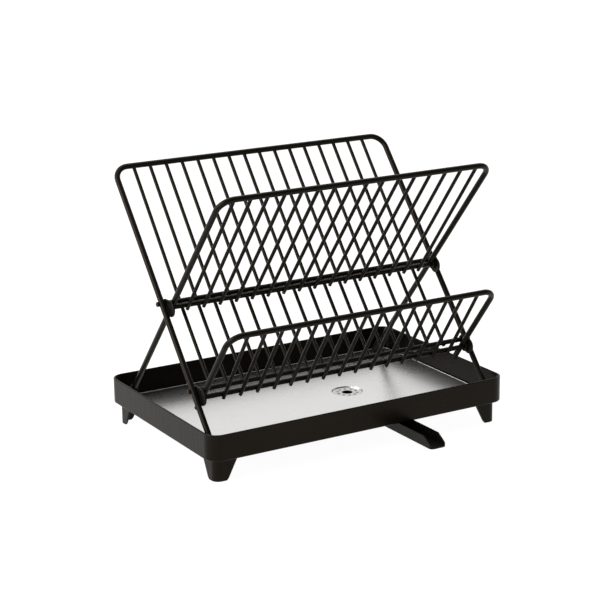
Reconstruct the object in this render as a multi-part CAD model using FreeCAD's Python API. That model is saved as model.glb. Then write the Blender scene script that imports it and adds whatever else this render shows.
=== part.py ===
import FreeCAD, Part

import math
import os

# Two-tier folding dish rack standing in a footed drip tray with a swivelling drain spout.
# Millimetres, +Z up, +X along the rack to the right, +Y to the back.
# The model is laid out around the middle of the tray. At the end everything is moved so that
# the origin is the middle of the whole object's footprint, on the worktop.

V = FreeCAD.Vector

# ---- driving dimensions: tray ------------------------------------------------------------
TRAY_WIDTH = 414.6          # along X, outside
TRAY_DEPTH = 271.6          # along Y, outside
TRAY_WALL_HEIGHT = 32.0     # from the underside of the tray to its rim
TRAY_CORNER = 17.0          # outside corner radius in plan
SHEET = 1.2                 # tray sheet thickness
HEM_HEIGHT = 5.0            # the rim is folded inwards once over this height
FOOT_HEIGHT = 27.5
PLATE_GAP = 0.6             # steel floor plate to the hem, all round
PLATE_THICKNESS = 0.8

# ---- driving dimensions: drain and spout --------------------------------------------------
DRAIN_X = 58.5              # drain axis, to the right of the tray's middle
DRAIN_Y = -2.5
DISH_RADIUS = 20.0          # sunken dish pressed into the floor plate
DISH_DEPTH = 2.0
DISH_LEDGE_RADIUS = 16.5    # hole in the dish, under the strainer
STRAINER_RADIUS = 18.2
STRAINER_THICKNESS = 0.8
STRAINER_HOLE_RADIUS = 6.8
STRAINER_SMALL_RADIUS = 1.7
STRAINER_RING_RADIUS = 12.4
STRAINER_SMALL_COUNT = 10
COLLAR_RADIUS = 27.0
NECK_RADIUS = 13.0
NECK_BORE = 10.5
SPOUT_WIDTH = 22.4
SPOUT_SIDE = 2.0            # the channel runs this far to the right of the drain axis
SPOUT_HEIGHT = 12.8
SPOUT_WALL = 1.6
SPOUT_REACH = 199.9         # drain axis to the tip
SPOUT_CHAMFER = 17.0        # how far the side walls slope back from the tip
SPOUT_TIP_RADIUS = 5.0
SWIVEL_CLEARANCE = 0.08

# ---- driving dimensions: wire frames ------------------------------------------------------
WIRE = 7.0                  # diameter of the hoops
ROD = 6.0                   # diameter of the cross rods
BAR = 4.4                   # diameter of the plate bars
WELD = 1.0                  # how deep a bar is notched over a rod where it is welded
HOOP_CORNER = 18.0          # bend radius of a hoop's corners, at the wire's middle
BAR_PITCH = 22.0
CROSSING_Y = 1.2            # where the planes of the two big hoops cross, behind the tray's middle
CROSSING_HEIGHT = 176.5     # and above the worktop

BACK_ANGLE = 49.8           # slope of the back frame above the horizontal
BACK_HALF_WIDTH = 193.9
BACK_RAIL = 193.8           # crossing to the top rail's middle, along the frame
BACK_FIRST_BAR = -167.5
BACK_BARS = 16
BACK_ROD_OFFSET = 1.0       # rods sit this far behind the hoop's plane
BACK_UPPER_ROD = 7.05       # along the frame from the crossing
BACK_LOWER_ROD = -107.9

FRONT_ANGLE = 49.5
FRONT_HALF_WIDTH = 184.0
FRONT_RAIL = 195.1          # hinge rod to the top rail's middle, along the frame
FRONT_FIRST_BAR = -166.4
FRONT_BARS = 16

BASKET_ANGLE = 51.7
BASKET_HALF_WIDTH = 184.0
BASKET_RAIL = 110.4
BASKET_FIRST_BAR = -159.6
BASKET_PITCH = 22.7
BASKET_BARS = 15
BASKET_TAIL = 25.7          # the hoop's ends reach this far past the hinge rod

FOLDING_ROD_OFFSET = 2.9    # front frame and basket: rod in front of the hoop's plane
BAR_TAIL = 2.8              # bars end this far past the last rod
ROD_NUB = 3.0               # back frame's rods show this far outside its hoop

LINK_PITCH = 11.5           # between the two holes of a link plate
LINK_END_RADIUS = 5.4       # small end of a link plate, round the back frame's rod
LINK_LOBE_RADIUS = 9.8      # large end, in front of the other rod
LINK_LOBE_REACH = 14.5
LINK_HUB_RADIUS = 6.2       # boss round the other rod, on the inner side
LINK_HUB = 3.0
LINK_AIR = 0.3              # link plate to the wire on each side
UPPER_LINK_ANGLE = 194.0    # from the back frame's rod to the other rod, seen from the right
UPPER_LOBE_ANGLE = 195.0
LOWER_LINK_ANGLE = 215.0
LOWER_LOBE_ANGLE = 201.0
LINK_CLEARANCE = 0.06       # running fit of the back frame's rods in the links
RIVET_END_RADIUS = 4.0      # head formed on the ends of the front frame's rod
RIVET_END = 0.8

CAP_RADIUS = 5.5            # rubber caps on the four wire legs
CAP_LENGTH = 15.0
CAP_AIR = 0.3               # cap to floor plate

# ---- driving dimensions: tray feet --------------------------------------------------------
FOOT_INSET = 8.6            # foot faces stand this far inside the tray's sides
FOOT_PLATE = 2.5
FOOT_FRONT_TOP = 30.0       # width of the plate that faces front or back, at the tray
FOOT_FRONT_BOTTOM = 17.0
FOOT_SIDE_TOP = 30.0        # width of the plate that faces left or right
FOOT_SIDE_BOTTOM = 17.0
FOOT_CORNER = 9.0
FOOT_TOE = 3.0              # rounding of the toes
TAB = 22.0                  # square tab under the tray that carries the rivets
TAB_THICKNESS = 1.6
RIVET_RADIUS = 1.6
RIVET_HEAD_RADIUS = 3.2
RIVET_HEAD = 1.2

# ---- derived ------------------------------------------------------------------------------
TRAY_BOTTOM = FOOT_HEIGHT
TRAY_RIM = TRAY_BOTTOM + TRAY_WALL_HEIGHT
FLOOR = TRAY_BOTTOM + SHEET + PLATE_THICKNESS
PLATE_WIDTH = TRAY_WIDTH - 2 * (2 * SHEET + PLATE_GAP)
PLATE_DEPTH = TRAY_DEPTH - 2 * (2 * SHEET + PLATE_GAP)
PLATE_CORNER = TRAY_CORNER - 2 * SHEET - PLATE_GAP
CAP_CENTRE = FLOOR + CAP_AIR + CAP_RADIUS
LEG_DROP = CROSSING_HEIGHT - CAP_CENTRE
BACK_OFFSET = BACK_ROD_OFFSET + (ROD + BAR) / 2 - WELD
FOLDING_OFFSET = FOLDING_ROD_OFFSET + (ROD + BAR) / 2 - WELD
LINK_INSIDE = FRONT_HALF_WIDTH + WIRE / 2 + LINK_AIR
LINK_OUTSIDE = BACK_HALF_WIDTH - WIRE / 2 - LINK_AIR


def radial(angle, distance):
    """A (y, z) step of this length in a direction measured from +Y towards +Z."""
    return distance * math.cos(math.radians(angle)), distance * math.sin(math.radians(angle))


def frame_placement(origin, angle):
    """Local X, Y, Z become world X, the frame's slope, and the normal of its plane."""
    y, z = origin
    return FreeCAD.Placement(V(0, y, z), FreeCAD.Rotation(V(1, 0, 0), angle))


def in_frame(origin, angle, along, offset):
    """World (y, z) of a point given along a frame's slope and off its plane."""
    dy, dz = radial(angle, along)
    ny, nz = radial(angle + 90, offset)
    return origin[0] + dy + ny, origin[1] + dz + nz


# The back frame's plane passes through the crossing. The front frame and the basket are placed
# by their hinge rods, which hang from the back frame's rods by the link plates.
FRONT_SLOPE = 180 - FRONT_ANGLE
BASKET_SLOPE = 180 - BASKET_ANGLE
CROSSING = (CROSSING_Y, CROSSING_HEIGHT)
UPPER_HINGE = in_frame(CROSSING, BACK_ANGLE, BACK_UPPER_ROD, -BACK_ROD_OFFSET)
LOWER_HINGE = in_frame(CROSSING, BACK_ANGLE, BACK_LOWER_ROD, -BACK_ROD_OFFSET)
FRONT_ROD = tuple(a + b for a, b in zip(UPPER_HINGE, radial(UPPER_LINK_ANGLE, LINK_PITCH)))
BASKET_ROD = tuple(a + b for a, b in zip(LOWER_HINGE, radial(LOWER_LINK_ANGLE, LINK_PITCH)))
FRONT_ORIGIN = in_frame(FRONT_ROD, FRONT_SLOPE, 0, -FOLDING_ROD_OFFSET)
BASKET_ORIGIN = in_frame(BASKET_ROD, BASKET_SLOPE, 0, -FOLDING_ROD_OFFSET)
BACK_FOOT = -LEG_DROP / math.sin(math.radians(BACK_ANGLE))
FRONT_FOOT = -(FRONT_ORIGIN[1] - CAP_CENTRE) / math.sin(math.radians(FRONT_ANGLE))


# ---- shape helpers ------------------------------------------------------------------------
def cylinder(start, end, radius):
    step = end - start
    return Part.makeCylinder(radius, step.Length, start, step)


def tube(outer, inner, low, high, x=0.0, y=0.0):
    ring = Part.makeCylinder(outer, high - low, V(x, y, low))
    return ring.cut(Part.makeCylinder(inner, high - low, V(x, y, low)))


def rounded_plan(width, depth, radius, z):
    """A closed wire: a rectangle with rounded corners, centred on the Z axis."""
    x, y = width / 2, depth / 2
    k = radius * (1 - math.sqrt(0.5))
    edges = []
    for sx, sy in ((1, 1), (-1, 1), (-1, -1), (1, -1)):
        across = V(sx * (x - radius), sy * y, z)
        middle = V(sx * (x - k), sy * (y - k), z)
        along = V(sx * x, sy * (y - radius), z)
        ends = (along, across) if sx * sy > 0 else (across, along)
        edges.append(Part.Arc(ends[0], middle, ends[1]).toShape())
    ring = []
    for arc, following in zip(edges, edges[1:] + edges[:1]):
        ring.append(arc)
        ring.append(Part.LineSegment(arc.lastVertex().Point, following.firstVertex().Point).toShape())
    return Part.Wire(Part.__sortEdges__(ring))


def slab(width, depth, radius, low, high):
    face = Part.Face(rounded_plan(width, depth, radius, low))
    return face.extrude(V(0, 0, high - low))


def prism_x(points, low, high):
    """Extrude a polygon given as (y, z) points along X."""
    outline = Part.makePolygon([V(low, y, z) for y, z in points + points[:1]])
    return Part.Face(outline).extrude(V(high - low, 0, 0))


def bent_hoop(half_width, rail, end):
    """A round wire bent to a U: two legs from `end` up to the corners of the rail."""
    r = HOOP_CORNER
    k = r * (1 - math.sqrt(0.5))
    w = half_width
    path = Part.Wire([
        Part.LineSegment(V(-w, end, 0), V(-w, rail - r, 0)).toShape(),
        Part.Arc(V(-w, rail - r, 0), V(k - w, rail - k, 0), V(r - w, rail, 0)).toShape(),
        Part.LineSegment(V(r - w, rail, 0), V(w - r, rail, 0)).toShape(),
        Part.Arc(V(w - r, rail, 0), V(w - k, rail - k, 0), V(w, rail - r, 0)).toShape(),
        Part.LineSegment(V(w, rail - r, 0), V(w, end, 0)).toShape(),
    ])
    section = Part.Wire(Part.makeCircle(WIRE / 2, V(-w, end, 0), V(0, 1, 0)))
    return path.makePipeShell([section], True, False)


def bar_row(first, pitch, count, rail, stations, rods):
    """Parallel bars from under the rail through the (along, offset) stations, with short tails.

    They are notched where they lie across the rods.
    """
    rail_wire = cylinder(V(first - pitch, rail, 0), V(first + pitch * count, rail, 0), WIRE / 2)
    bars = []
    for i in range(count):
        x = first + i * pitch
        points = [V(x, rail, 0)] + [V(x, along, offset) for along, offset in stations]
        last = points[-1] - points[-2]
        points[-1] = points[-1] + last.normalize() * BAR_TAIL
        bar = cylinder(points[0], points[1], BAR / 2)
        for start, end in zip(points[1:], points[2:]):
            bar = bar.fuse([cylinder(start, end, BAR / 2), Part.makeSphere(BAR / 2, start)])
        bars.append(largest_solid(bar.cut([rail_wire] + rods)))
    return Part.makeCompound(bars)


def largest_solid(shape):
    return max(shape.Solids, key=lambda solid: solid.Volume)


def back_rod(along, hoop):
    """Cross rod of the back frame: it runs past the hoop's legs and is coped over them."""
    reach = BACK_HALF_WIDTH + WIRE / 2 + ROD_NUB
    rod = cylinder(V(-reach, along, -BACK_ROD_OFFSET), V(reach, along, -BACK_ROD_OFFSET), ROD / 2)
    rod = rod.makeChamfer(0.6, end_circles(rod, reach))
    return rod.cut(hoop)


def end_circles(shape, x):
    """The circular edges that lie in the planes at -x and +x."""
    return [e for e in shape.Edges if len(e.Vertexes) == 1 and abs(abs(e.CenterOfMass.x) - x) < 1e-6]


def hinge_rod(hoop, head):
    """Cross rod of a folding frame. It ends in the link plates, flush or with a formed head."""
    rod = cylinder(V(-LINK_OUTSIDE, 0, FOLDING_ROD_OFFSET), V(LINK_OUTSIDE, 0, FOLDING_ROD_OFFSET), ROD / 2)
    if head:
        for side in (-1, 1):
            start = V(side * LINK_OUTSIDE, 0, FOLDING_ROD_OFFSET)
            cap = cylinder(start, start + V(side * RIVET_END, 0, 0), RIVET_END_RADIUS)
            cap = cap.makeFillet(0.5, end_circles(cap, LINK_OUTSIDE + RIVET_END))
            rod = rod.fuse(cap)
    return rod.removeSplitter().cut(hoop)


def tangent_outline(x, small, small_radius, large, large_radius):
    """Egg-shaped outline in the plane at x: two circles, given as (y, z) centres, and their tangents."""
    dy, dz = large[0] - small[0], large[1] - small[1]
    heading = math.degrees(math.atan2(dz, dy))
    spread = math.degrees(math.acos((small_radius - large_radius) / math.hypot(dy, dz)))

    def on(centre, radius, angle):
        step = radial(angle, radius)
        return V(x, centre[0] + step[0], centre[1] + step[1])

    corners = [on(small, small_radius, heading + spread), on(large, large_radius, heading + spread),
               on(large, large_radius, heading - spread), on(small, small_radius, heading - spread)]
    return Part.Wire([
        Part.LineSegment(corners[0], corners[1]).toShape(),
        Part.Arc(corners[1], on(large, large_radius, heading), corners[2]).toShape(),
        Part.LineSegment(corners[2], corners[3]).toShape(),
        Part.Arc(corners[3], on(small, small_radius, heading + 180), corners[0]).toShape(),
    ])


def link_plate(turning, fixed, lobe_angle, hoop, side):
    """Egg-shaped plate between two hoops: it turns on one rod and is fixed to the other and its hoop."""
    low, high = sorted((side * LINK_INSIDE, side * LINK_OUTSIDE))
    reach = radial(lobe_angle, LINK_LOBE_REACH)
    lobe = (turning[0] + reach[0], turning[1] + reach[1])
    outline = tangent_outline(low, turning, LINK_END_RADIUS, lobe, LINK_LOBE_RADIUS)
    plate = Part.Face(outline).extrude(V(high - low, 0, 0))
    plate = plate.makeFillet(0.7, [e for e in plate.Edges if abs(e.BoundBox.XLength) < 1e-6])
    inner = V(side * (LINK_INSIDE - LINK_HUB), *fixed)
    outer = V(side * (LINK_INSIDE + 0.5), *fixed)
    hub = cylinder(inner, outer, LINK_HUB_RADIUS)
    hub = hub.makeFillet(0.7, end_circles(hub, LINK_INSIDE - LINK_HUB))
    plate = plate.fuse(hub)
    for centre, radius in ((turning, ROD / 2 + LINK_CLEARANCE), (fixed, ROD / 2)):
        plate = plate.cut(cylinder(V(side * 170, *centre), V(side * 200, *centre), radius))
    return plate.cut(hoop)


def leg_cap(x, end):
    """Rubber cap on a wire leg, in the frame's local axes. It stands on a round edge along X."""
    centre = V(x, end, 0)
    top = V(x, end + CAP_LENGTH, 0)
    cap = cylinder(centre, top, CAP_RADIUS)
    cap = cap.makeChamfer(0.8, [e for e in cap.Edges if e.BoundBox.YMin > top.y - 0.01])
    toe = cylinder(centre - V(0, CAP_RADIUS, 0), centre, CAP_RADIUS)
    toe = toe.common(cylinder(centre - V(2 * CAP_RADIUS, 0, 0), centre + V(2 * CAP_RADIUS, 0, 0), CAP_RADIUS))
    cap = cap.fuse(toe).removeSplitter()
    return cap.cut(cylinder(centre, top + V(0, 1, 0), WIRE / 2))


# ---- tray ---------------------------------------------------------------------------------
def tray_shell():
    outside = slab(TRAY_WIDTH, TRAY_DEPTH, TRAY_CORNER, TRAY_BOTTOM, TRAY_RIM)
    lower = [e for e in outside.Edges if e.BoundBox.ZMax < TRAY_BOTTOM + 0.01]
    outside = outside.makeFillet(1.6, lower)
    hem = 2 * SHEET
    under_hem = slab(TRAY_WIDTH - 2 * SHEET, TRAY_DEPTH - 2 * SHEET, TRAY_CORNER - SHEET,
                     TRAY_BOTTOM + SHEET, TRAY_RIM - HEM_HEIGHT)
    mouth = slab(TRAY_WIDTH - 2 * hem, TRAY_DEPTH - 2 * hem, TRAY_CORNER - hem,
                 TRAY_RIM - HEM_HEIGHT - 1, TRAY_RIM + 1)
    shell = outside.cut(under_hem).cut(mouth)
    rim = [e for e in shell.Edges if e.BoundBox.ZMin > TRAY_RIM - 0.01]
    shell = shell.makeFillet(SHEET - 0.15, rim)
    dish_way = Part.makeCylinder(DISH_RADIUS + 1.8, 3 * SHEET, V(DRAIN_X, DRAIN_Y, TRAY_BOTTOM - SHEET))
    for x, y in rivet_places():
        dish_way = dish_way.fuse(Part.makeCylinder(RIVET_RADIUS, 3 * SHEET, V(x, y, TRAY_BOTTOM - SHEET)))
    return shell.cut(dish_way)


def floor_plate():
    low = FLOOR - PLATE_THICKNESS
    lip = DISH_RADIUS + 3
    plate = slab(PLATE_WIDTH, PLATE_DEPTH, PLATE_CORNER, low, FLOOR)
    plate = plate.cut(Part.makeCylinder(lip, 3 * PLATE_THICKNESS, V(DRAIN_X, DRAIN_Y, low - PLATE_THICKNESS)))
    slope = 1.2
    t = PLATE_THICKNESS
    section = [
        (lip, FLOOR), (DISH_RADIUS, FLOOR), (DISH_RADIUS - slope, FLOOR - DISH_DEPTH),
        (DISH_LEDGE_RADIUS, FLOOR - DISH_DEPTH), (DISH_LEDGE_RADIUS, FLOOR - DISH_DEPTH - t),
        (DISH_RADIUS - slope + t, FLOOR - DISH_DEPTH - t), (DISH_RADIUS + t, low), (lip, low),
    ]
    outline = Part.makePolygon([V(DRAIN_X + r, DRAIN_Y, z) for r, z in section + section[:1]])
    dish = Part.Face(outline).revolve(V(DRAIN_X, DRAIN_Y, 0), V(0, 0, 1), 360)
    return plate.fuse(dish).removeSplitter()


def strainer():
    low = FLOOR - DISH_DEPTH
    disc = Part.makeCylinder(STRAINER_RADIUS, STRAINER_THICKNESS, V(DRAIN_X, DRAIN_Y, low))
    cutters = [Part.makeCylinder(STRAINER_HOLE_RADIUS, 3, V(DRAIN_X, DRAIN_Y, low - 1))]
    for i in range(STRAINER_SMALL_COUNT):
        dy, dx = radial(360.0 * (i + 0.5) / STRAINER_SMALL_COUNT, STRAINER_RING_RADIUS)
        cutters.append(Part.makeCylinder(STRAINER_SMALL_RADIUS, 3, V(DRAIN_X + dx, DRAIN_Y + dy, low - 1)))
    return disc.cut(cutters)


# Heights of the drain's stack below the tray, from the top down.
GASKET_TOP = TRAY_BOTTOM
COLLAR_TOP = GASKET_TOP - 0.8
POCKET_FLOOR = FLOOR - DISH_DEPTH - PLATE_THICKNESS - 0.4
COLLAR_BOTTOM = POCKET_FLOOR - 1.6
SWIVEL_TOP = COLLAR_BOTTOM - 0.3
SPOUT_TOP = TRAY_BOTTOM - 0.5
SPOUT_BOTTOM = SPOUT_TOP - SPOUT_HEIGHT
SWIVEL_BOTTOM = SWIVEL_TOP - 4.5
CLIP_TOP = SWIVEL_BOTTOM - 0.2
CLIP_BOTTOM = CLIP_TOP - 1.4
NECK_END = CLIP_BOTTOM - 0.6
HEAD_RADIUS = 17.5
CLIP_RADIUS = 14.6
CUP_RADIUS = HEAD_RADIUS - SPOUT_WALL


def drain_gasket():
    return tube(COLLAR_RADIUS, DISH_RADIUS + 1.8, COLLAR_TOP, GASKET_TOP, DRAIN_X, DRAIN_Y)


def drain_collar():
    flange = Part.makeCylinder(COLLAR_RADIUS, COLLAR_TOP - COLLAR_BOTTOM, V(DRAIN_X, DRAIN_Y, COLLAR_BOTTOM))
    neck = Part.makeCylinder(NECK_RADIUS, COLLAR_BOTTOM - NECK_END, V(DRAIN_X, DRAIN_Y, NECK_END))
    pocket = Part.makeCylinder(DISH_RADIUS + 1.8, 10, V(DRAIN_X, DRAIN_Y, POCKET_FLOOR))
    bore = Part.makeCylinder(NECK_BORE, 40, V(DRAIN_X, DRAIN_Y, 0))
    groove = tube(NECK_RADIUS + 1, NECK_RADIUS - 1, CLIP_BOTTOM, CLIP_TOP, DRAIN_X, DRAIN_Y)
    return flange.fuse(neck).cut([pocket, bore, groove])


def spout_clip():
    """Open spring ring in the neck's groove. It keeps the spout from dropping off."""
    ring = tube(CLIP_RADIUS, NECK_RADIUS - 1, CLIP_BOTTOM, CLIP_TOP, DRAIN_X, DRAIN_Y)
    gap = Part.makeBox(5, CLIP_RADIUS + 1, 4, V(DRAIN_X - 2.5, DRAIN_Y, CLIP_BOTTOM - 1))
    return ring.cut(gap)


def spout():
    """Open channel that points to the front, with a round head that turns on the neck."""
    half = SPOUT_WIDTH / 2
    middle = DRAIN_X + SPOUT_SIDE
    tip = DRAIN_Y - SPOUT_REACH
    step = DRAIN_Y - COLLAR_RADIUS - 1.5
    side = [(DRAIN_Y, SPOUT_BOTTOM), (tip, SPOUT_BOTTOM), (tip, SPOUT_BOTTOM + SPOUT_WALL + 0.6),
            (tip + SPOUT_CHAMFER, SPOUT_TOP), (step, SPOUT_TOP), (step, SWIVEL_TOP), (DRAIN_Y, SWIVEL_TOP)]
    body = prism_x(side, middle - half, middle + half)
    corners = [e for e in body.Edges
               if e.BoundBox.YMax < tip + 0.01 and e.BoundBox.XLength < 1e-6 and e.BoundBox.ZLength > 1]
    body = body.makeFillet(SPOUT_TIP_RADIUS, corners)
    head = Part.makeCylinder(HEAD_RADIUS, SWIVEL_TOP - SPOUT_BOTTOM, V(DRAIN_X, DRAIN_Y, SPOUT_BOTTOM))
    body = body.fuse(head).removeSplitter()
    trough = Part.makeBox(SPOUT_WIDTH - 2 * SPOUT_WALL, SPOUT_REACH - HEAD_RADIUS + 1, SPOUT_HEIGHT,
                          V(middle - half + SPOUT_WALL, tip - 1, SPOUT_BOTTOM + SPOUT_WALL))
    cup_height = SWIVEL_BOTTOM - SPOUT_BOTTOM - SPOUT_WALL
    way = Part.makeBox(SPOUT_WIDTH - 2 * SPOUT_WALL, HEAD_RADIUS + 1, cup_height,
                       V(middle - half + SPOUT_WALL, DRAIN_Y - HEAD_RADIUS - 1, SPOUT_BOTTOM + SPOUT_WALL))
    cup = Part.makeCylinder(CUP_RADIUS, cup_height, V(DRAIN_X, DRAIN_Y, SPOUT_BOTTOM + SPOUT_WALL))
    eye = Part.makeCylinder(NECK_RADIUS + SWIVEL_CLEARANCE, 30, V(DRAIN_X, DRAIN_Y, SWIVEL_BOTTOM - 1))
    return body.cut([trough, way, cup, eye])


# ---- tray feet ----------------------------------------------------------------------------
def foot(sx, sy):
    """Tapered corner foot: two plates round the tray's corner and a tab under the tray."""
    x, y = TRAY_WIDTH / 2 - FOOT_INSET, TRAY_DEPTH / 2 - FOOT_INSET
    block = Part.makeBox(FOOT_FRONT_TOP, FOOT_SIDE_TOP, FOOT_HEIGHT, V(x - FOOT_FRONT_TOP, y - FOOT_SIDE_TOP, 0))
    block = block.makeFillet(FOOT_CORNER, upright_edge(block, x, y))
    inner = Part.makeBox(FOOT_FRONT_TOP, FOOT_SIDE_TOP, FOOT_HEIGHT - TAB_THICKNESS,
                         V(x - FOOT_FRONT_TOP - FOOT_PLATE, y - FOOT_SIDE_TOP - FOOT_PLATE, 0))
    inner = inner.makeFillet(FOOT_CORNER - FOOT_PLATE, upright_edge(inner, x - FOOT_PLATE, y - FOOT_PLATE))
    foot_shape = block.cut(inner)
    across = wedge(x - FOOT_FRONT_TOP, x - FOOT_FRONT_BOTTOM, y - FOOT_SIDE_TOP - 1, y + 1, "x")
    along = wedge(y - FOOT_SIDE_TOP, y - FOOT_SIDE_BOTTOM, x - FOOT_FRONT_TOP - 1, x + 1, "y")
    foot_shape = foot_shape.cut([across, along])
    for rx, ry in rivet_places(quarter=True):
        foot_shape = foot_shape.cut(Part.makeCylinder(RIVET_RADIUS, 5, V(rx, ry, FOOT_HEIGHT - 3)))
    if sx < 0:
        foot_shape = foot_shape.mirror(V(0, 0, 0), V(1, 0, 0))
    if sy < 0:
        foot_shape = foot_shape.mirror(V(0, 0, 0), V(0, 1, 0))
    return foot_shape


def upright_edge(box, x, y):
    """The box's vertical edge at (x, y)."""
    return [e for e in box.Edges
            if e.BoundBox.ZLength > 1 and abs(e.CenterOfMass.x - x) < 0.01 and abs(e.CenterOfMass.y - y) < 0.01]


def wedge(top, bottom, low, high, axis):
    """The space outside a foot plate's slanted edge, below the tab."""
    ceiling = FOOT_HEIGHT - TAB_THICKNESS
    outer = top - 5
    points = [(outer, ceiling), (top, ceiling), (bottom - FOOT_TOE * 0.4, FOOT_TOE),
              (bottom + FOOT_TOE * 0.5, 0), (bottom, -1), (outer, -1)]
    if axis == "x":
        outline = Part.makePolygon([V(a, low, z) for a, z in points + points[:1]])
        return Part.Face(outline).extrude(V(0, high - low, 0))
    outline = Part.makePolygon([V(low, a, z) for a, z in points + points[:1]])
    return Part.Face(outline).extrude(V(high - low, 0, 0))


def rivet_places(quarter=False):
    """Centres of the rivets: two to a foot."""
    x, y = TRAY_WIDTH / 2 - FOOT_INSET, TRAY_DEPTH / 2 - FOOT_INSET
    first = [(x - TAB, y - 9.0), (x - 9.0, y - TAB + 4.0)]
    if quarter:
        return first
    return [(sx * a, sy * b) for sx in (-1, 1) for sy in (-1, 1) for a, b in first]


def foot_rivets():
    rivets = []
    for x, y in rivet_places():
        shank = Part.makeCylinder(RIVET_RADIUS, TAB_THICKNESS + SHEET, V(x, y, FOOT_HEIGHT - TAB_THICKNESS))
        head_z = FOOT_HEIGHT - TAB_THICKNESS - RIVET_HEAD
        head = Part.makeCylinder(RIVET_HEAD_RADIUS, RIVET_HEAD, V(x, y, head_z))
        head = head.makeFillet(0.8, [e for e in head.Edges if e.BoundBox.ZMax < head_z + 0.01])
        rivets.append(shank.fuse(head).removeSplitter())
    return Part.makeCompound(rivets)


# ---- wire frames --------------------------------------------------------------------------
def placed(shapes, origin, angle):
    placement = frame_placement(origin, angle)
    for shape in shapes.values():
        shape.Placement = placement.multiply(shape.Placement)
    return shapes


def back_frame():
    hoop = bent_hoop(BACK_HALF_WIDTH, BACK_RAIL, BACK_FOOT)
    upper_rod = back_rod(BACK_UPPER_ROD, hoop)
    lower_rod = back_rod(BACK_LOWER_ROD, hoop)
    stations = [(BACK_UPPER_ROD, -BACK_OFFSET), (BACK_LOWER_ROD, -BACK_OFFSET)]
    bars = bar_row(BACK_FIRST_BAR, BAR_PITCH, BACK_BARS, BACK_RAIL, stations, [upper_rod, lower_rod])
    return placed({
        "back_frame_hoop": hoop,
        "back_frame_bars": bars,
        "back_frame_upper_rod": upper_rod,
        "back_frame_lower_rod": lower_rod,
        "back_frame_cap_left": leg_cap(-BACK_HALF_WIDTH, BACK_FOOT),
        "back_frame_cap_right": leg_cap(BACK_HALF_WIDTH, BACK_FOOT),
    }, CROSSING, BACK_ANGLE)


def front_frame():
    hoop = bent_hoop(FRONT_HALF_WIDTH, FRONT_RAIL, FRONT_FOOT)
    rod = hinge_rod(hoop, True)
    stations = [(0, FOLDING_OFFSET)]
    return placed({
        "front_frame_hoop": hoop,
        "front_frame_bars": bar_row(FRONT_FIRST_BAR, BAR_PITCH, FRONT_BARS, FRONT_RAIL, stations, [rod]),
        "front_frame_rod": rod,
        "front_frame_cap_left": leg_cap(-FRONT_HALF_WIDTH, FRONT_FOOT),
        "front_frame_cap_right": leg_cap(FRONT_HALF_WIDTH, FRONT_FOOT),
    }, FRONT_ORIGIN, FRONT_SLOPE)


def basket():
    hoop = bent_hoop(BASKET_HALF_WIDTH, BASKET_RAIL, -BASKET_TAIL)
    rod = hinge_rod(hoop, False)
    stations = [(0, FOLDING_OFFSET)]
    return placed({
        "basket_hoop": hoop,
        "basket_bars": bar_row(BASKET_FIRST_BAR, BASKET_PITCH, BASKET_BARS, BASKET_RAIL, stations, [rod]),
        "basket_rod": rod,
    }, BASKET_ORIGIN, BASKET_SLOPE)


def main():
    nodes = {
        "tray_shell": tray_shell(),
        "floor_plate": floor_plate(),
        "strainer": strainer(),
        "drain_gasket": drain_gasket(),
        "drain_collar": drain_collar(),
        "spout_clip": spout_clip(),
        "spout": spout(),
        "foot_rivets": foot_rivets(),
    }
    for side, sx in (("left", -1), ("right", 1)):
        for end, sy in (("front", -1), ("back", 1)):
            nodes[f"foot_{end}_{side}"] = foot(sx, sy)
    nodes.update(back_frame())
    nodes.update(front_frame())
    nodes.update(basket())
    for side, sx in (("left", -1), ("right", 1)):
        nodes[f"upper_link_{side}"] = link_plate(
            UPPER_HINGE, FRONT_ROD, UPPER_LOBE_ANGLE, nodes["front_frame_hoop"], sx)
        nodes[f"lower_link_{side}"] = link_plate(
            LOWER_HINGE, BASKET_ROD, LOWER_LOBE_ANGLE, nodes["basket_hoop"], sx)

    # The origin goes to the middle of the footprint: between the tray's back and the spout's tip.
    shift = V(0, (SPOUT_REACH - DRAIN_Y - TRAY_DEPTH / 2) / 2, 0)
    os.makedirs("parts", exist_ok=True)
    for name, shape in sorted(nodes.items()):
        shape = shape.copy()
        shape.translate(shift)
        shape.exportStep(os.path.join("parts", name + ".step"))


main()
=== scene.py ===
import bmesh
import bpy
import math
from mathutils import Matrix, Vector


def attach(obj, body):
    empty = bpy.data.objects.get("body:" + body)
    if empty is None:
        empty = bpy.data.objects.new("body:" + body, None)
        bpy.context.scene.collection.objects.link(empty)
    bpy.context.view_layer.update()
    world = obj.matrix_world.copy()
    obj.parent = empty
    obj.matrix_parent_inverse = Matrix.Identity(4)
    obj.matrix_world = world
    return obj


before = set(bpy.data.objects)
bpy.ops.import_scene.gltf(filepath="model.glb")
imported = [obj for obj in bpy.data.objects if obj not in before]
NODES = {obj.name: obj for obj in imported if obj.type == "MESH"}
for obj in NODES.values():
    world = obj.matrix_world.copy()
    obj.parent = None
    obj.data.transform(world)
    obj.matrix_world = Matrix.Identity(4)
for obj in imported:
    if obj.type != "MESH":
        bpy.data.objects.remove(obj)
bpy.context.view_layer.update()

# ---- camera (metres, degrees, millimetres for lens and sensor) ----------------------------
CAMERA_PLACE = Vector((-1.1033, -1.8243, 0.7595))
CAMERA_AZIMUTH = 30.53
CAMERA_ELEVATION = 15.56
CAMERA_ROLL = -0.74
CAMERA_LENS = 109.03
SENSOR_WIDTH = 36.0
CLIP_START = 0.05
CLIP_END = 50.0

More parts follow.
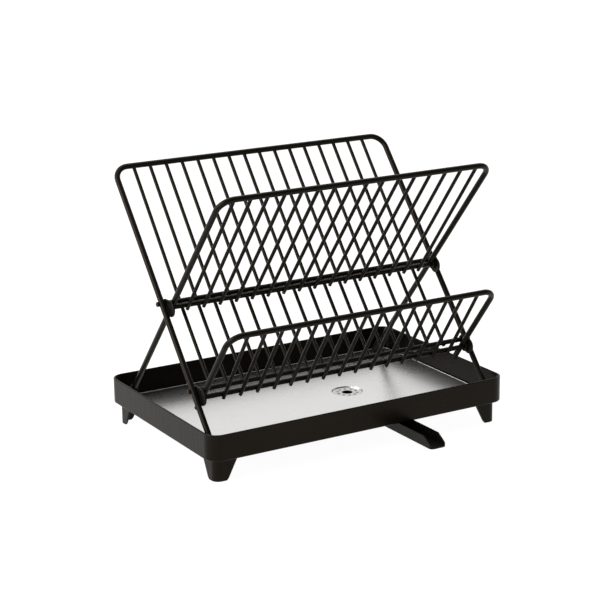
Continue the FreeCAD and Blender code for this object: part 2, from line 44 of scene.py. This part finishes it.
# ---- studio (metres, watts) ---------------------------------------------------------------
WHITE = (1.0, 1.0, 1.0, 1.0)
FLOOR_SIZE = 14.0
FLOOR_GREY = (0.10, 0.10, 0.10, 1.0)
FLOOR_ROUGHNESS = 0.9
FLOOR_GLOW = 0.96
SKY_DIM = 0.25
SKY_BRIGHT = 1.0
SKY_DIM_UP_TO = -0.3
SKY_BRIGHT_FROM = 0.35
LIGHTS = (
    # name, place, target, size, power
    ("key_left", (-2.6, 0.2, 1.4), (0.0, 0.0, 0.12), (3.2, 2.2), 105.0),
    ("top_soft", (0.2, 0.6, 2.6), (0.0, 0.0, 0.1), (2.5, 2.5), 30.0),
)

# ---- surfaces (noise scales per metre, depths in metres) ----------------------------------
COATING_IOR = 1.21
WARM_SHEEN = (1.0, 0.86, 0.66, 1.0)
COATING_CLOUDS = 14.0
PEEL_STRENGTH = 0.15
PEEL_DEPTH = 0.00002
UPRIGHT_STRETCH = (1.0, 1.0, 0.02)
STREAK_SCALE = 160.0
STREAK_DEPTH = 0.0002
LENGTHWISE = (1.0, 60.0, 60.0)
UPRIGHT_BRUSHING = (40.0, 40.0, 1.0)
SCRATCH_SCALE = 30.0
SCRATCH_STRENGTH = 0.04
SCRATCH_DEPTH = 0.00001
HAZE_SCALE = 9.0
FLOW_CLOUDS = 35.0
SPARK_STRENGTH = 0.2
SPARK_DEPTH = 0.00004

# ---- turned-up edge of the floor plate (metres) -------------------------------------------
PLATE_CORNER = 0.0140
LIP_THICKNESS = 0.0004
LIP_HEIGHT = 0.0004
LIP_SINK = 0.0004
LIP_BEVEL = LIP_THICKNESS * 0.3
LIP_CORNER_STEPS = 12


# ---- node helpers -------------------------------------------------------------------------
def new_material(name):
    material = bpy.data.materials.new(name)
    material.use_nodes = True
    tree = material.node_tree
    return material, tree, tree.nodes["Principled BSDF"]


def add(tree, kind, **inputs):
    node = tree.nodes.new(kind)
    for key, value in inputs.items():
        node.inputs[key].default_value = value
    return node


def object_coordinates(tree, stretch=(1.0, 1.0, 1.0)):
    coordinates = tree.nodes.new("ShaderNodeTexCoord")
    mapping = add(tree, "ShaderNodeMapping", Scale=stretch)
    tree.links.new(coordinates.outputs["Object"], mapping.inputs["Vector"])
    return mapping.outputs["Vector"]


def noise(tree, vector, scale, detail=3.0, roughness=0.55):
    node = add(tree, "ShaderNodeTexNoise", Scale=scale, Detail=detail, Roughness=roughness)
    tree.links.new(vector, node.inputs["Vector"])
    return node.outputs["Fac"]


def ramp(tree, value, low, high, start=0.3, end=0.7):
    """Map a factor from start..end onto low..high."""
    node = tree.nodes.new("ShaderNodeMapRange")
    node.inputs["From Min"].default_value = start
    node.inputs["From Max"].default_value = end
    node.inputs["To Min"].default_value = low
    node.inputs["To Max"].default_value = high
    tree.links.new(value, node.inputs["Value"])
    return node.outputs["Result"]


def mix_colour(tree, factor, first, second):
    """Blend two colours; sockets 6, 7 and output 2 are the mix node's colour ones."""
    node = tree.nodes.new("ShaderNodeMix")
    node.data_type = "RGBA"
    for socket, colour in ((node.inputs[6], first), (node.inputs[7], second)):
        socket.default_value = (*colour, 1.0)
    tree.links.new(factor, node.inputs[0])
    return node.outputs[2]


def bump(tree, shader, height, strength, distance, following=None):
    node = add(tree, "ShaderNodeBump", Strength=strength, Distance=distance)
    tree.links.new(height, node.inputs["Height"])
    if following is not None:
        tree.links.new(following, node.inputs["Normal"])
    tree.links.new(node.outputs["Normal"], shader.inputs["Normal"])
    return node.outputs["Normal"]


# ---- materials ----------------------------------------------------------------------------
def satin_black(shader):
    """Weak, warm reflection, as on the real coating and plastic."""
    shader.inputs["IOR"].default_value = COATING_IOR
    shader.inputs["Specular Tint"].default_value = WARM_SHEEN


def powder_coat(name, dark, light, roughness, grain=900.0, streaks=0.0):
    """Baked black coating: a fine orange-peel surface, slightly uneven in tone and gloss."""
    material, tree, shader = new_material(name)
    place = object_coordinates(tree)
    cloudy = noise(tree, place, COATING_CLOUDS, 4.0)
    tone = ramp(tree, cloudy, 0.0, 1.0)
    tree.links.new(mix_colour(tree, tone, dark, light), shader.inputs["Base Color"])
    speckle = noise(tree, place, grain * 0.5, 2.0)
    gloss = ramp(tree, speckle, roughness - 0.03, roughness + 0.05)
    tree.links.new(gloss, shader.inputs["Roughness"])
    peel = bump(tree, shader, noise(tree, place, grain, 2.0), PEEL_STRENGTH, PEEL_DEPTH)
    if streaks:
        upright = object_coordinates(tree, UPRIGHT_STRETCH)
        bump(tree, shader, noise(tree, upright, STREAK_SCALE, 2.0), streaks, STREAK_DEPTH, peel)
    satin_black(shader)
    return material


def brushed_steel(name, dark, light, roughness, direction=LENGTHWISE):
    """Rolled and brushed sheet: fine parallel scratches with soft patches of handling haze."""
    material, tree, shader = new_material(name)
    along = object_coordinates(tree, direction)
    place = object_coordinates(tree)
    scratches = noise(tree, along, SCRATCH_SCALE, 6.0, 0.7)
    haze = noise(tree, place, HAZE_SCALE, 3.0)
    tone = ramp(tree, scratches, 0.0, 1.0)
    tree.links.new(mix_colour(tree, tone, dark, light), shader.inputs["Base Color"])
    gloss = ramp(tree, haze, roughness - 0.02, roughness + 0.03)
    tree.links.new(gloss, shader.inputs["Roughness"])
    bump(tree, shader, scratches, SCRATCH_STRENGTH, SCRATCH_DEPTH)
    shader.inputs["Metallic"].default_value = 1.0
    return material


def moulded_plastic(name, dark, light, roughness, grain=1400.0):
    """Spark-textured black moulding with faint flow clouds."""
    material, tree, shader = new_material(name)
    place = object_coordinates(tree)
    clouds = noise(tree, place, FLOW_CLOUDS, 3.0)
    tone = ramp(tree, clouds, 0.0, 1.0)
    tree.links.new(mix_colour(tree, tone, dark, light), shader.inputs["Base Color"])
    texture = noise(tree, place, grain, 3.0, 0.6)
    gloss = ramp(tree, texture, roughness - 0.05, roughness + 0.07)
    tree.links.new(gloss, shader.inputs["Roughness"])
    bump(tree, shader, texture, SPARK_STRENGTH, SPARK_DEPTH)
    satin_black(shader)
    return material


def make_materials():
    """Each surface runs between a dark and a light tone, in linear colour."""
    return {
        "tray": powder_coat("tray_coating", (0.0034, 0.0027, 0.0018),
                            (0.0058, 0.0046, 0.0032), roughness=0.27, streaks=0.5),
        "wire": powder_coat("wire_coating", (0.0030, 0.0024, 0.0017),
                            (0.0052, 0.0042, 0.0030), roughness=0.30, grain=1300.0),
        "floor": brushed_steel("floor_steel", (0.68, 0.67, 0.66),
                               (0.76, 0.755, 0.75), roughness=0.26),
        # the lip's steel is set lighter than the floor plate's own, a painted highlight that
        # brightens the turned-up edge's line
        "lip": brushed_steel("lip_steel_painted_highlight", (0.74, 0.735, 0.73),
                             (0.84, 0.835, 0.83), roughness=0.34, direction=UPRIGHT_BRUSHING),
        "strainer": brushed_steel("strainer_steel", (0.50, 0.50, 0.49),
                                  (0.66, 0.66, 0.65), roughness=0.30),
        "hardware": brushed_steel("hardware_steel", (0.25, 0.25, 0.25),
                                  (0.36, 0.36, 0.355), roughness=0.38),
        "link": moulded_plastic("link_plastic", (0.0025, 0.0024, 0.0024),
                                (0.0050, 0.0048, 0.0048), roughness=0.34),
        "foot": moulded_plastic("foot_plastic", (0.0034, 0.0026, 0.0017),
                                (0.0062, 0.0050, 0.0036), roughness=0.36),
        "spout": moulded_plastic("spout_plastic", (0.0024, 0.0022, 0.0018),
                                 (0.0048, 0.0044, 0.0038), roughness=0.34),
        "rubber": moulded_plastic("cap_rubber", (0.0050, 0.0048, 0.0046),
                                  (0.0085, 0.0080, 0.0076), roughness=0.55, grain=900.0),
    }


MATERIAL_OF_NODE = {
    "tray_shell": "tray",
    "floor_plate": "floor",
    "strainer": "strainer",
    "drain_gasket": "rubber",
    "drain_collar": "spout",
    "spout_clip": "hardware",
    "spout": "spout",
    "foot_rivets": "hardware",
    "foot_front_left": "foot",
    "foot_front_right": "foot",
    "foot_back_left": "foot",
    "foot_back_right": "foot",
    "upper_link_left": "link",
    "upper_link_right": "link",
    "lower_link_left": "link",
    "lower_link_right": "link",
    "back_frame_hoop": "wire",
    "back_frame_bars": "wire",
    "back_frame_upper_rod": "wire",
    "back_frame_lower_rod": "wire",
    "back_frame_cap_left": "rubber",
    "back_frame_cap_right": "rubber",
    "front_frame_hoop": "wire",
    "front_frame_bars": "wire",
    "front_frame_rod": "wire",
    "front_frame_cap_left": "rubber",
    "front_frame_cap_right": "rubber",
    "basket_hoop": "wire",
    "basket_bars": "wire",
    "basket_rod": "wire",
}


def dress_nodes(materials):
    for name, kind in MATERIAL_OF_NODE.items():
        node = NODES[name]
        if not node.material_slots:
            node.data.materials.append(materials[kind])
        for slot in node.material_slots:
            slot.material = materials[kind]


# ---- turned-up edge of the floor plate ----------------------------------------------------
def rounded_ring(half_x, half_y, radius):
    """Points of a rectangle with rounded corners, anticlockwise."""
    points = []
    for corner, (sx, sy) in enumerate(((1, 1), (-1, 1), (-1, -1), (1, -1))):
        for step in range(LIP_CORNER_STEPS + 1):
            angle = math.radians(90.0 * (corner + step / LIP_CORNER_STEPS))
            points.append((sx * (half_x - radius) + radius * math.cos(angle),
                           sy * (half_y - radius) + radius * math.sin(angle)))
    return points


def plate_lip(materials):
    """The plate's border is turned up a little all round and catches the lamps as a bright line;
    its steel is also set lighter than the plate's, a painted highlight.
    """
    plate = NODES["floor_plate"]
    corners = [plate.matrix_world @ Vector(corner) for corner in plate.bound_box]
    low = Vector([min(corner[axis] for corner in corners) for axis in range(3)])
    high = Vector([max(corner[axis] for corner in corners) for axis in range(3)])
    middle = (low + high) / 2
    half = (high - low) / 2
    root, crown = high.z - LIP_SINK, high.z + LIP_HEIGHT
    # inset from the plate's edge and height, from the outer foot over the top to the inner foot
    profile = [(0.0, root), (0.0, crown - LIP_BEVEL), (LIP_BEVEL, crown),
               (LIP_THICKNESS - LIP_BEVEL, crown), (LIP_THICKNESS, crown - LIP_BEVEL),
               (LIP_THICKNESS, root)]
    mesh = bmesh.new()
    rings = []
    for inset, z in profile:
        ring = rounded_ring(half.x - inset, half.y - inset, PLATE_CORNER - inset)
        rings.append([mesh.verts.new((middle.x + x, middle.y + y, z)) for x, y in ring])
    for first, second in zip(rings, rings[1:] + rings[:1]):
        for i in range(len(first)):
            k = (i + 1) % len(first)
            mesh.faces.new((first[i], first[k], second[k], second[i]))
    bmesh.ops.recalc_face_normals(mesh, faces=mesh.faces)
    data = bpy.data.meshes.new("floor_plate_lip")
    mesh.to_mesh(data)
    mesh.free()
    lip = bpy.data.objects.new("floor_plate_lip", data)
    bpy.context.scene.collection.objects.link(lip)
    data.materials.append(materials["lip"])
    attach(lip, "floor_plate")


# ---- studio -------------------------------------------------------------------------------
def make_floor():
    bpy.ops.mesh.primitive_plane_add(size=FLOOR_SIZE, location=(0.0, 0.0, 0.0))
    floor = bpy.context.object
    floor.name = "studio_floor"
    material, _, shader = new_material("studio_floor")
    shader.inputs["Base Color"].default_value = FLOOR_GREY
    shader.inputs["Roughness"].default_value = FLOOR_ROUGHNESS
    shader.inputs["Emission Color"].default_value = WHITE
    shader.inputs["Emission Strength"].default_value = FLOOR_GLOW
    floor.data.materials.append(material)


def make_world():
    """Bright behind and above the object, dim on the camera's side."""
    world = bpy.data.worlds.new("studio")
    world.use_nodes = True
    tree = world.node_tree
    background = tree.nodes["Background"]
    background.inputs["Color"].default_value = WHITE
    coordinates = tree.nodes.new("ShaderNodeTexCoord")
    split = tree.nodes.new("ShaderNodeSeparateXYZ")
    tree.links.new(coordinates.outputs["Generated"], split.inputs["Vector"])
    brightness = ramp(tree, split.outputs["Y"], SKY_DIM, SKY_BRIGHT, SKY_DIM_UP_TO, SKY_BRIGHT_FROM)
    tree.links.new(brightness, background.inputs["Strength"])
    bpy.context.scene.world = world


def make_lights():
    for name, place, target, size, power in LIGHTS:
        light = bpy.data.lights.new(name, "AREA")
        light.shape = "RECTANGLE"
        light.size, light.size_y = size
        light.energy = power
        holder = bpy.data.objects.new(name, light)
        holder.location = place
        aim = Vector(target) - Vector(place)
        holder.rotation_euler = aim.to_track_quat("-Z", "Y").to_euler()
        bpy.context.scene.collection.objects.link(holder)


def make_camera():
    data = bpy.data.cameras.new("camera")
    data.sensor_width = SENSOR_WIDTH
    data.lens = CAMERA_LENS
    data.clip_start = CLIP_START
    data.clip_end = CLIP_END
    camera = bpy.data.objects.new("camera", data)
    azimuth = math.radians(CAMERA_AZIMUTH)
    elevation = math.radians(CAMERA_ELEVATION)
    forward = Vector((math.sin(azimuth) * math.cos(elevation),
                      math.cos(azimuth) * math.cos(elevation),
                      -math.sin(elevation)))
    roll = Matrix.Rotation(math.radians(CAMERA_ROLL), 3, "Z")
    turn = forward.to_track_quat("-Z", "Y").to_matrix() @ roll
    camera.matrix_world = Matrix.Translation(CAMERA_PLACE) @ turn.to_4x4()
    bpy.context.scene.collection.objects.link(camera)
    bpy.context.scene.camera = camera


bpy.context.scene.view_settings.view_transform = "Standard"
materials = make_materials()
dress_nodes(materials)
plate_lip(materials)
make_floor()
make_world()
make_lights()
make_camera()
